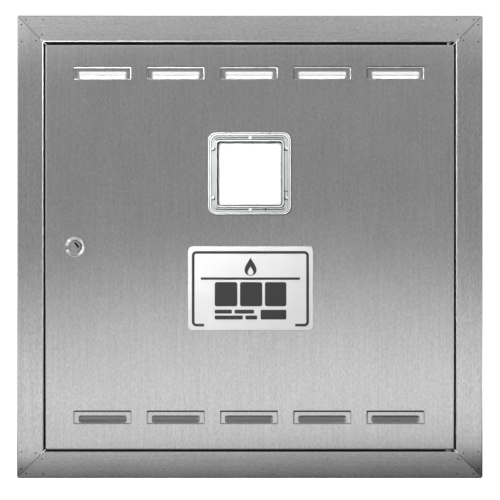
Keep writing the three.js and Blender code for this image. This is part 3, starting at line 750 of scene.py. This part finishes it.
def make_window():
    """The sight window: a moulded rim, its pane, the ring behind it and four rivets."""
    centre = middle_of("window_bezel")
    centre.y = FACE_Y
    bm = bmesh.new()
    loops, shares = zip(*(rim_loop(bm, centre, inset, high, on) for inset, high, _, on in RIM_SECTION))
    count = len(RIM_SECTION)
    for row, (_, _, kind, _) in enumerate(RIM_SECTION):
        follow = (row + 1) % count
        for i, face in enumerate(bridge(bm, loops[row], loops[follow])):
            face.material_index = kind if min(shares[row][i], shares[follow][i]) > 0.4 else LAND
    rim = finish_mesh("window_rim", bm, RIM_CLEAR, "door", ["window_bezel"], "clear_plastic", 50)
    for material in (RIM_LAND_DARKER, RIM_DARK_LINE):
        rim.data.materials.append(material)
    # the seam marks take the near-black painted dark-line plastic
    for name, x, z, width, height, rise, material in [
        ("window_seam_lower", 20, -47.0, 0.9, 6.5, 2.0, RIM_DARK_LINE),
        ("window_seam_right", 47.4, -22.5, 8.0, 1.1, 2.0, RIM_DARK_LINE),
        ("window_seam_upper", 25.5, 51.6, 3.2, 1.0, 3.0, RIM_DARK_LINE),
        ("window_gate_upper", 0.5, 46.3, 4.2, 4.6, 2.3, RIM_CLEAR),
        ("window_gate_lower", 0.5, -46.3, 3.6, 4.2, 2.3, RIM_CLEAR),
    ]:
        bm = bmesh.new()
        outline = rounded_rect(width * MM, height * MM, min(width, height) * 0.3 * MM, 4)
        place = lambda a, b, y: centre + Vector((x * MM + a, y, z * MM + b))
        prism(bm, outline, -rise * MM, -1.0 * MM, place)
        finish_mesh(name, bm, material, "door", None, "clear_plastic")

    low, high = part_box("window_pane")
    bm = bmesh.new()
    size = (high[0] - low[0] - 3 * MM, high[2] - low[2] - 3 * MM)
    outline = rounded_rect(size[0], size[1], 3 * MM)
    prism(bm, outline, low[1], high[1], lambda a, b, y: (centre.x + a, y, centre.z + b))
    piece = finish_mesh("window_sheet", bm, PANE_CLEAR, "door", ["window_pane"], "clear_pane")
    add_bevel(piece, 0.25 * MM)

    low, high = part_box("window_ring")
    bm = bmesh.new()
    outer = rounded_rect(high[0] - low[0], high[2] - low[2], 9 * MM)
    inner = rounded_rect(77 * MM, 76 * MM, 3 * MM)
    loops = [
        [bm.verts.new((centre.x + a, y, centre.z + b)) for a, b in outline]
        for outline, y in ((outer, low[1]), (outer, high[1]), (inner, high[1]), (inner, low[1]))
    ]
    for first, second in zip(loops, loops[1:] + loops[:1]):
        bridge(bm, first, second)
    piece = finish_mesh("window_back_ring", bm, RING_WHITE, "door", ["window_ring"], "white_plastic")
    add_bevel(piece, 0.4 * MM)

    for side in ("left", "right"):
        for level in ("top", "bottom"):
            node = f"window_rivet_{level}_{side}"
            spot = middle_of(node)
            bm = bmesh.new()
            rear = 4.9
            profile = [
                (0, -2.3), (0.8, -2.3), (1.2, -2.15), (1.3, -1.9), (2.7, -1.9), (2.75, -1.75),
                (1.4, -0.9), (1.4, rear - 0.8), (2.2, rear - 0.8),
                (2.3, rear - 0.3), (1.8, rear), (0, rear),
            ]
            lathe(bm, profile, (spot.x, FACE_Y, spot.z), count=28)
            way = 1 if side == "left" else -1

            # the half of each rivet's ring towards the bottom takes near-black plastic as painted shade
            def in_shade(polygon):
                offset = polygon.center - spot
                ring = FACE_Y - 2.1 * MM < polygon.center.y < FACE_Y - 1.7 * MM
                return ring and way * offset.x - offset.z > -0.4 * MM

            edges = {"second": RIM_DARK_LINE, "is_second": in_shade}
            finish_mesh(node + "_plug", bm, RIM_CLEAR, "door", [node], "clear_plastic", 40, **edges)


make_window()

# ---------------------------------------------------------------- label


def make_label():
    """A white plate with a printed border and rule, and plain marks in place of any text."""
    low, high = (Vector(corner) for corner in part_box("label_plate"))
    centre = (low + high) / 2
    size = high - low
    bm = bmesh.new()
    outline = rounded_rect(size.x, size.z, 6 * MM)
    prism(bm, outline, low.y, high.y, lambda a, b, y: (centre.x + a, y, centre.z + b))
    sides = {"second": LABEL_EDGE, "is_second": lambda p: abs(p.normal.y) < 0.5}
    plate = finish_mesh("label_sheet", bm, label_white(), "door", ["label_plate"], "label", **sides)
    add_bevel(plate, 0.4 * MM, 3)

    ink = plain_plastic("label_ink", (0.035, 0.035, 0.035), 0.4)
    right, top = size.x / 2 / MM, size.z / 2 / MM

    def printed(name, outline):
        bm = bmesh.new()
        place = lambda a, b, y: (centre.x + a * MM, y, centre.z + b * MM)
        prism(bm, outline, low.y - 0.08 * MM, low.y + 0.02 * MM, place)
        finish_mesh(name, bm, ink, "door", None, "label")

    west, east = 6.7 - right, right - 7.1
    south, north = 6.7 - top, top - 7.8
    border = [
        (west + 14, south), (west, south), (west, north),
        (east, north), (east, south), (east - 16, south),
    ]
    printed("label_border", folded(border, 4.2, 3.4, 8))
    printed("label_rule", bar(-64, 63.5, 12.5, 3.0, 0.2))
    for index, (start, end) in enumerate([(-46, -17), (-13.5, 15), (18.5, 46)]):
        printed(f"label_block_{index}", bar(start, end, -7.5, 31, 2.5))
    for index, (start, end, level) in enumerate(
        [(-46, -24, -30), (-20.5, 4.5, -30), (-46, -10, -37.5), (-6.5, 8.5, -37.5)]
    ):
        printed(f"label_line_{index}", bar(start, end, level, 5, 1.2))
    printed("label_number", bar(13, 46, -33.8, 12.5, 1.6))
    printed("label_flame", drop(11.8, 9.2, 0, 28))
    bm = bmesh.new()
    place = lambda a, b, y: (centre.x + a * MM, y, centre.z + b * MM)
    prism(bm, drop(5.6, 4.4, 0, 22.6), low.y - 0.12 * MM, low.y, place)
    finish_mesh("label_flame_core", bm, plate.data.materials[0], "door", None, "label")


def bar(start, end, level, height, radius):
    """A bar's outline from start to end along X, about a level in Z, all in millimetres."""
    outline = rounded_rect(end - start, height, radius, 4)
    return [(x + (start + end) / 2, z + level) for x, z in outline]


def drop(half_height, half_width, x, z):
    """A plain teardrop's outline, standing on its round end."""
    points = []
    for i in range(48):
        angle = 2 * math.pi * i / 48
        pinch = math.sin(angle / 2 + math.pi / 4) ** 2
        points.append((x + half_width * math.cos(angle) * (1.05 - pinch**1.6),
                       z + half_height * math.sin(angle)))
    return points


def label_white():
    material, shader = new_material("label_white", (0.82, 0.82, 0.82), 0.32)
    tree = material.node_tree
    cloud = noise_of(tree, stretched(tree, (1, 1, 1)), 30, 2)
    speck = noise_of(tree, stretched(tree, (1, 1, 1)), 2500, 2)
    colors = tint(tree, span(tree, cloud, 0, 1), (0.80,) * 3, (0.84,) * 3)
    tree.links.new(colors, shader.inputs["Base Color"])
    tree.links.new(span(tree, speck, 0.28, 0.38), shader.inputs["Roughness"])
    bump(tree, shader, speck, 0.1, 0.00002)
    return material


make_label()

# ---------------------------------------------------------------- lock


def make_lock():
    """The lock's funnel-faced head with its threaded barrel, and the key plug inside it."""
    centre = middle_of("lock_housing")
    centre.y = FACE_Y
    end = STOP_BACK / MM - FACE_Y / MM - 0.1
    housing = [
        (8.05, 0.9), (8.12, 0.4), (8.3, 0.1), (12.1, -2.45), (12.4, -2.65), (12.7, -2.55),
        (12.9, -2.1), (13.0, -0.9), (13.0, -0.05), (9.5, -0.05), (9.5, 1.0),
    ]
    pitch = 1.0
    turns = int((end - 2.2) / pitch)
    for turn in range(turns):
        base = 1.4 + turn * pitch
        housing += [(9.1, base), (9.5, base + pitch / 2)]
    housing += [(9.1, end - 0.4), (8.1, end)]
    bm = bmesh.new()
    lathe(bm, housing, centre, count=72)
    finish_mesh("lock_barrel", bm, CHROME, "door", ["lock_housing"], "lock_chrome", 20)

    bm = bmesh.new()
    face = -1.1  # the plug's face, out from the door's
    key_plug = [
        (0, face), (7.5, face), (7.7, face + 0.2), (7.75, face + 0.8),
        (7.75, end), (4, end), (0, end),
    ]
    lathe(bm, key_plug, centre, count=72)
    plug = finish_mesh("lock_key_plug", bm, CHROME, "lock_rotor", ["lock_plug"], "lock_chrome", 40)
    plug.data.materials.append(CREASE_SHADE_STEEL)
    carve(plug, keyway(centre))


def keyway(centre):
    """A cutter for the keyway: a slot across the plug's upper right, square to the line from the
    plug's middle."""
    bm = bmesh.new()
    outline = rounded_rect(2.4, 8.0, 0.5, 3)
    turn = Matrix.Rotation(math.radians(36), 2)
    offset = Vector((2.5, 2.2))
    spots = [turn @ Vector(p) + offset for p in outline]
    prism(bm, spots, -4, 6, lambda a, b, y: centre + Vector((a * MM, y * MM, b * MM)))
    bmesh.ops.recalc_face_normals(bm, faces=bm.faces)
    mesh = bpy.data.meshes.new("keyway_cutter")
    # the cut faces take the plug's second material, near-black steel as painted shade inside the keyway
    give(bm.faces, 1)
    bm.to_mesh(mesh)
    bm.free()
    return mesh


def carve(piece, cutter_mesh):
    """Cuts a mesh out of a piece for good."""
    cutter = bpy.data.objects.new("cutter", cutter_mesh)
    bpy.context.scene.collection.objects.link(cutter)
    modifier = piece.modifiers.new("cut", "BOOLEAN")
    modifier.operation = "DIFFERENCE"
    modifier.solver = "EXACT"
    modifier.object = cutter
    piece.modifiers.move(len(piece.modifiers) - 1, 0)
    with bpy.context.temp_override(object=piece, active_object=piece):
        bpy.ops.object.modifier_apply(modifier="cut")
    bpy.data.objects.remove(cutter)
    bpy.data.meshes.remove(cutter_mesh)


make_lock()

# ---------------------------------------------------------------- hidden hardware


def make_spring():
    """The sliding pin's spring, built as a coil at rest. The real spring closes up as the pin is drawn down.
    """
    low, high = (Vector(corner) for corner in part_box("upper_pin_spring"))
    centre = (low + high) / 2
    wire, travel = 0.4 * MM, 8 * MM  # the wire's radius, and how far the pin is drawn down
    turns, steps = 7, 24
    radius = (high.x - low.x) / 2 - wire
    rise = high.z - low.z - 2 * wire
    bm = bmesh.new()
    rows = []
    for i in range(turns * steps + 1):
        angle = 2 * math.pi * i / steps
        out = Vector((math.cos(angle), math.sin(angle), 0))
        height = low.z + wire + rise * i / (turns * steps)
        middle = Vector((centre.x, centre.y, height)) + out * radius
        rows.append([bm.verts.new(middle + out * a + Vector((0, 0, b))) for a, b in circle(wire, 10)])
    for first, second in zip(rows, rows[1:]):
        bridge(bm, first, second)
    bm.faces.new(rows[0])
    bm.faces.new(rows[-1])
    coil = finish_mesh("upper_pin_coil", bm, BRIGHT, "door", ["upper_pin_spring"], "spring_steel", 50)
    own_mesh(coil)


def soften(node, material, width):
    """Gives a CAD node its material, rounded edges and smooth shading."""
    node_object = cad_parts[node]
    node_object.data.materials.clear()
    node_object.data.materials.append(material)
    joined = node_object.modifiers.new("joined", "WELD")
    joined.merge_threshold = 0.01 * MM
    rounded = node_object.modifiers.new("rounded", "BEVEL")
    rounded.width = width * MM
    rounded.segments = 3
    rounded.limit_method = "ANGLE"
    rounded.angle_limit = math.radians(50)
    node_object.modifiers.new("evened", "WEIGHTED_NORMAL").keep_sharp = True
    for polygon in node_object.data.polygons:
        polygon.use_smooth = True


make_spring()
for node, material, width in [
    ("lock_washer", PLATED, 0.2), ("lock_nut", PLATED, 0.4), ("lock_cam", PLATED, 0.3),
    ("cam_screw", PLATED, 0.3), ("lower_hinge_pin", BRIGHT, 0.3), ("lower_hinge_washer", NYLON, 0.2),
    ("lower_hinge_plate", PLATED, 0.3), ("upper_pin_bracket", PLATED, 0.3),
    ("upper_hinge_pin", BRIGHT, 0.3), ("upper_pin_clip", PLATED, 0.15),
    ("door_buffer_upper", RUBBER, 0.8), ("door_buffer_lower", RUBBER, 0.8),
    ("anchor_left_upper", PLATED, 0.4), ("anchor_left_lower", PLATED, 0.4),
    ("anchor_right_upper", PLATED, 0.4), ("anchor_right_lower", PLATED, 0.4),
]:
    soften(node, material, width)

# ---------------------------------------------------------------- stage


def stage_plane(name, low, high, material):
    mesh = bpy.data.meshes.new(name)
    (x0, y0, z0), (x1, y1, z1) = low, high
    if y0 == y1:
        corners = [(x0, y0, z0), (x1, y0, z0), (x1, y0, z1), (x0, y0, z1)]
    else:
        corners = [(x0, y0, z0), (x1, y0, z0), (x1, y1, z1), (x0, y1, z1)]
    mesh.from_pydata(corners, [], [(0, 1, 2, 3)])
    mesh.materials.append(material)
    plane = bpy.data.objects.new(name, mesh)
    bpy.context.scene.collection.objects.link(plane)
    return plane


def glossy_only(plane):
    """A reflector card: seen in the metal, and by nothing else."""
    plane.visible_camera = False
    plane.visible_diffuse = False
    plane.visible_shadow = False
    plane.visible_transmission = False


def glow_ramp(name, axis, low, high, stops, sag=0.0, tilt=0.0, lean=0.0):
    """Light that changes along an axis. sag lifts the place in the ramp away from x = 0, tilt
    lifts it to the left, and lean dims the light to the right."""
    material = bpy.data.materials.new(name)
    material.use_nodes = True
    tree = material.node_tree
    tree.nodes.clear()
    coordinates = tree.nodes.new("ShaderNodeTexCoord")
    split = tree.nodes.new("ShaderNodeSeparateXYZ")
    tree.links.new(coordinates.outputs["Object"], split.inputs["Vector"])
    aside = blend(tree, "ABSOLUTE", split.outputs["X"], 0.0)
    bow = blend(tree, "MULTIPLY", blend(tree, "POWER", aside, 2.0), sag)
    ramp = tree.nodes.new("ShaderNodeValToRGB")
    elements = ramp.color_ramp.elements
    while len(elements) < len(stops):
        elements.new(0.5)
    for element, (where, level) in zip(elements, stops):
        element.position = (where - low) / (high - low)
        element.color = (level, level, level, 1)
    ramp.color_ramp.interpolation = "EASE"
    slope = blend(tree, "MULTIPLY", split.outputs["X"], -tilt)
    shift = blend(tree, "ADD", bow, slope)
    place = span(tree, blend(tree, "ADD", split.outputs[axis], shift), 0.0, 1.0, low, high)
    tree.links.new(place, ramp.inputs["Fac"])
    glow = tree.nodes.new("ShaderNodeEmission")
    tree.links.new(ramp.outputs["Color"], glow.inputs["Color"])
    if lean:
        dimming = span(tree, split.outputs["X"], 1 + 0.3 * lean, 1 - 0.3 * lean, -0.3, 0.3)
        tree.links.new(dimming, glow.inputs["Strength"])
    output = tree.nodes.new("ShaderNodeOutputMaterial")
    tree.links.new(glow.outputs["Emission"], output.inputs["Surface"])
    return material


# Brightness of the front card by height, and of the ground in front by distance
CARD_Y = -0.55
CARD_STOPS = [
    (-0.30, 1.10), (-0.22, 1.02), (-0.14, 0.84), (-0.08, 0.69), (-0.02, 0.47), (0.04, 0.345),
    (0.26, 0.35), (0.374, 0.22), (0.425, 0.72), (0.50, 1.30),
]
GROUND_STOPS = [(-0.55, 1.05), (-0.30, 1.0), (-0.16, 0.5), (-0.11, 0.08), (-0.01, 0.05)]
# Bright strips sunk below the ground, which only steep reflections reach: their near and far
# edges and their light
PITS = {"front": (-0.20, -0.45, 1.6), "rear": (0.15, 0.42, 7.0)}
PIT_DEPTH = 0.25
CARD_HALF, FAR = 0.8, 6  # half the cards' width, and how far the pale ground reaches


def floor_white():
    material, shader = new_material("floor", (0.9, 0.9, 0.9), 0.6)
    shader.inputs["Emission Color"].default_value = (1, 1, 1, 1)
    shader.inputs["Emission Strength"].default_value = 0.85
    return material


def area_light(name, location, size, power, target=(0, 0, 0)):
    light = bpy.data.lights.new(name, "AREA")
    light.shape = "RECTANGLE"
    light.size, light.size_y = size
    light.energy = power
    lamp = bpy.data.objects.new(name, light)
    lamp.location = location
    lamp.rotation_euler = (Vector(target) - Vector(location)).to_track_quat("-Z", "Y").to_euler()
    bpy.context.scene.collection.objects.link(lamp)
    return lamp


def make_world(background):
    """White behind the object for the camera. For all else a grey studio, pale to the left and a
    little darker to the right and overhead, and dimmer still for diffuse light."""
    world = bpy.data.worlds.new("studio")
    bpy.context.scene.world = world
    world.use_nodes = True
    tree = world.node_tree
    shade = tree.nodes["Background"]
    path = tree.nodes.new("ShaderNodeLightPath")
    seen = blend(tree, "MAXIMUM", path.outputs["Is Camera Ray"], path.outputs["Is Transmission Ray"])
    coordinates = tree.nodes.new("ShaderNodeTexCoord")
    split = tree.nodes.new("ShaderNodeSeparateXYZ")
    tree.links.new(coordinates.outputs["Generated"], split.inputs["Vector"])
    ceiling = span(tree, split.outputs["Z"], 0.0, 0.5, 0.3, 0.6)
    left = span(tree, split.outputs["X"], 1.3, 0.3, -0.9, -0.4)
    right = span(tree, split.outputs["X"], 0.0, -0.2, 0.4, 0.8)
    overhead = span(tree, split.outputs["Z"], 0.0, -0.45, 0.6, 0.9)
    studio = blend(tree, "ADD", blend(tree, "ADD", ceiling, left), blend(tree, "ADD", right, overhead))
    dimmed = blend(tree, "MULTIPLY", studio, 0.42)
    spread = path.outputs["Is Diffuse Ray"]
    kept = blend(tree, "MULTIPLY", studio, blend(tree, "SUBTRACT", one(tree), spread))
    studio = blend(tree, "ADD", kept, blend(tree, "MULTIPLY", dimmed, spread))
    white = blend(tree, "MULTIPLY", seen, background)
    rest = blend(tree, "MULTIPLY", blend(tree, "SUBTRACT", one(tree), seen), studio)
    tree.links.new(blend(tree, "ADD", white, rest), shade.inputs["Strength"])
    shade.inputs["Color"].default_value = (1, 1, 1, 1)


def one(tree):
    node = tree.nodes.new("ShaderNodeValue")
    node.outputs["Value"].default_value = 1
    return node.outputs["Value"]


def make_stage():
    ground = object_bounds()[0][2]
    floor = stage_plane("floor", (-FAR, -FAR, ground), (FAR, FAR, ground), floor_white())
    floor.visible_glossy = False
    floor.visible_diffuse = False
    card_light = glow_ramp("front_card", "Z", -0.35, 0.6, CARD_STOPS, 0.2, 0.035)
    card = stage_plane("front_card", (-CARD_HALF, CARD_Y, ground), (CARD_HALF, CARD_Y, 0.6), card_light)
    ground_light = glow_ramp("ground_card", "Y", CARD_Y, 0.0, GROUND_STOPS, 0.0, 0.0, 3.0)
    dim = glow_ramp("dim_ground", "Y", -FAR, FAR, [(-FAR, 0.1), (FAR, 0.1)])
    pale = glow_ramp("pale_ground", "Y", -FAR, FAR, [(-FAR, 0.9), (FAR, 0.9)])
    edge = CARD_HALF
    cards = [
        ("ground_near", (-edge, PITS["front"][0], ground), (edge, 0.0, ground), ground_light),
        ("ground_behind", (-edge, 0.0, ground), (edge, PITS["rear"][0], ground), dim),
        ("ground_far", (-edge, CARD_Y, ground), (edge, PITS["front"][1], ground), pale),
        ("ground_front", (-FAR, -FAR, ground), (FAR, CARD_Y, ground), pale),
        ("ground_rear", (-FAR, PITS["rear"][1], ground), (FAR, FAR, ground), pale),
        ("ground_left", (-FAR, CARD_Y, ground), (-edge, PITS["rear"][1], ground), pale),
        ("ground_right", (edge, CARD_Y, ground), (FAR, PITS["rear"][1], ground), pale),
    ]
    for name, (near, far, strength) in PITS.items():
        deep = ground - PIT_DEPTH
        bright = glow_ramp("pit_light_" + name, "Y", -FAR, FAR, [(-FAR, 1.0), (FAR, 1.0)])
        bright.node_tree.nodes["Emission"].inputs["Strength"].default_value = strength
        cards.append((f"pit_bottom_{name}", (-edge, near, deep), (edge, far, deep), bright))
        cards.append((f"pit_near_side_{name}", (-edge, near, deep), (edge, near, ground), pale))
        cards.append((f"pit_far_side_{name}", (-edge, far, deep), (edge, far, ground), pale))
    for plane in [card] + [stage_plane(*row) for row in cards]:
        glossy_only(plane)
    key = area_light("key", (-0.33, -0.27, 0.40), (0.3, 0.3), 7.6)
    key.visible_glossy = False
    area_light("fill", (1.6, -1.2, 0.5), (0.8, 1.6), 2)
    area_light("rear", (0.4, 1.8, 1.4), (1.6, 1.2), 18)
    make_world(1.25)


def make_camera():
    """A view straight from the front, nearly square to the door's middle."""
    distance, view_width = 1.5, 0.6435
    middle_x, middle_z = 0.0003, -0.0042
    data = bpy.data.cameras.new("camera")
    data.angle = 2 * math.atan(view_width / 2 / distance)
    camera = bpy.data.objects.new("camera", data)
    camera.location = (middle_x, FACE_Y - distance, middle_z)
    camera.rotation_euler = (math.pi / 2, 0, 0)
    bpy.context.scene.collection.objects.link(camera)
    bpy.context.scene.camera = camera


make_stage()
make_camera()
bpy.context.scene.view_settings.view_transform = "Standard"
